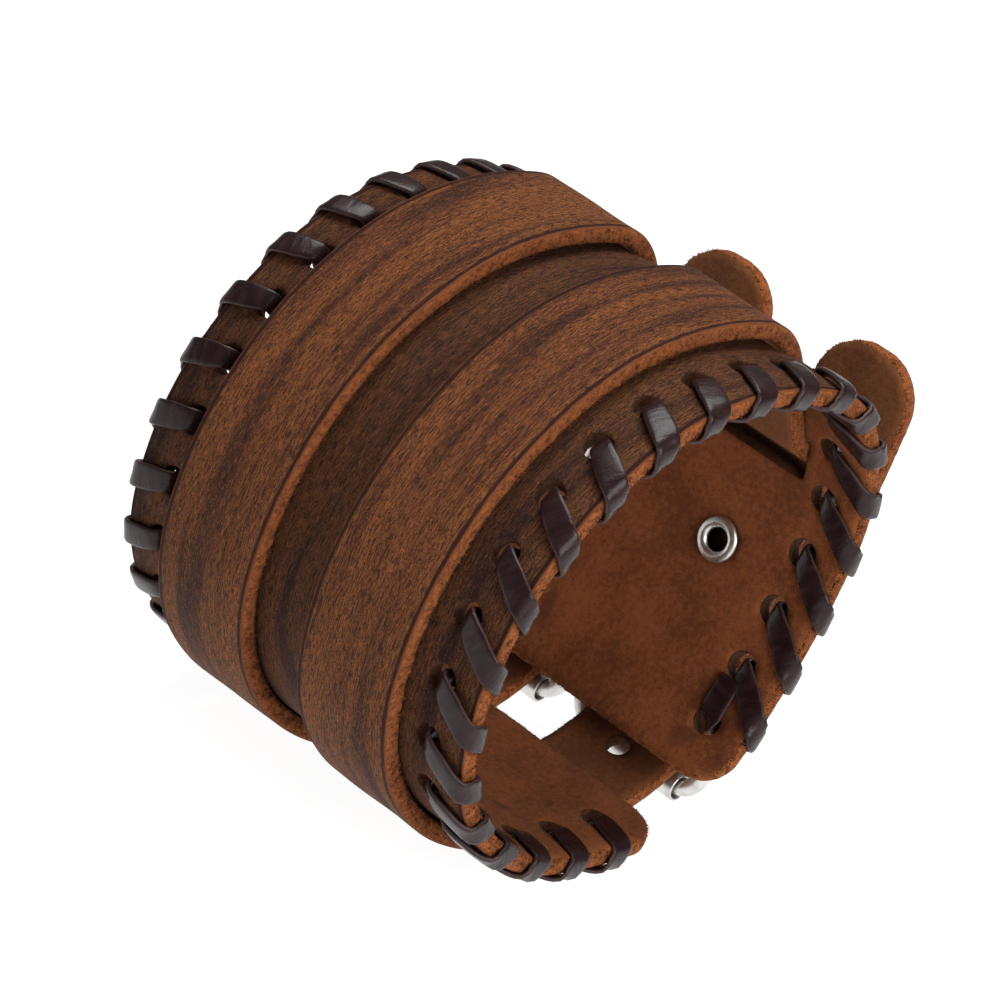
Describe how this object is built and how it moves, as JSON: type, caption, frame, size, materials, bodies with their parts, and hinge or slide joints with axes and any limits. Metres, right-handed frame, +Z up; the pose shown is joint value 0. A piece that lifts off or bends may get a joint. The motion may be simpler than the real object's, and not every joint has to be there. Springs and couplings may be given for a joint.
{
  "type": "laced leather cuff bracelet with buckled belts",
  "caption": "Wide leather cuff, fastened, with flat lacing whipped over both rims and narrow belts threaded through slots, riveted, and closed by roller buckles.",
  "frame": {"origin": "middle of the footprint's box, at the surface the cuff lies on", "axes": "+Z up, Y along the axis of the wrist hollow, the near laced rim towards -Y, the buckles towards +X"},
  "size_m": [0.0698, 0.0476, 0.0571],
  "materials": {
    "band_leather": "distressed brown grain outside, brown suede inside, raw orange-brown edges",
    "belt_leather": "distressed tan-brown grain with dark streaks, suede inside, raw orange-brown edges",
    "lace_leather": "smooth glossy dark plum-brown",
    "nickel": "satin nickel plate"
  },
  "bodies": {
    "root": {"band": "band_leather", "strap_near": "belt_leather", "buckle_frame_near": "nickel", "buckle_roller_near": "nickel", "buckle_prong_near": "nickel", "rivet_near": "nickel", "strap_far": "belt_leather", "buckle_frame_far": "nickel", "buckle_roller_far": "nickel", "buckle_prong_far": "nickel", "rivet_far": "nickel", "lace_near": "lace_leather", "lace_far": "lace_leather"}
  },
  "joints": []
}
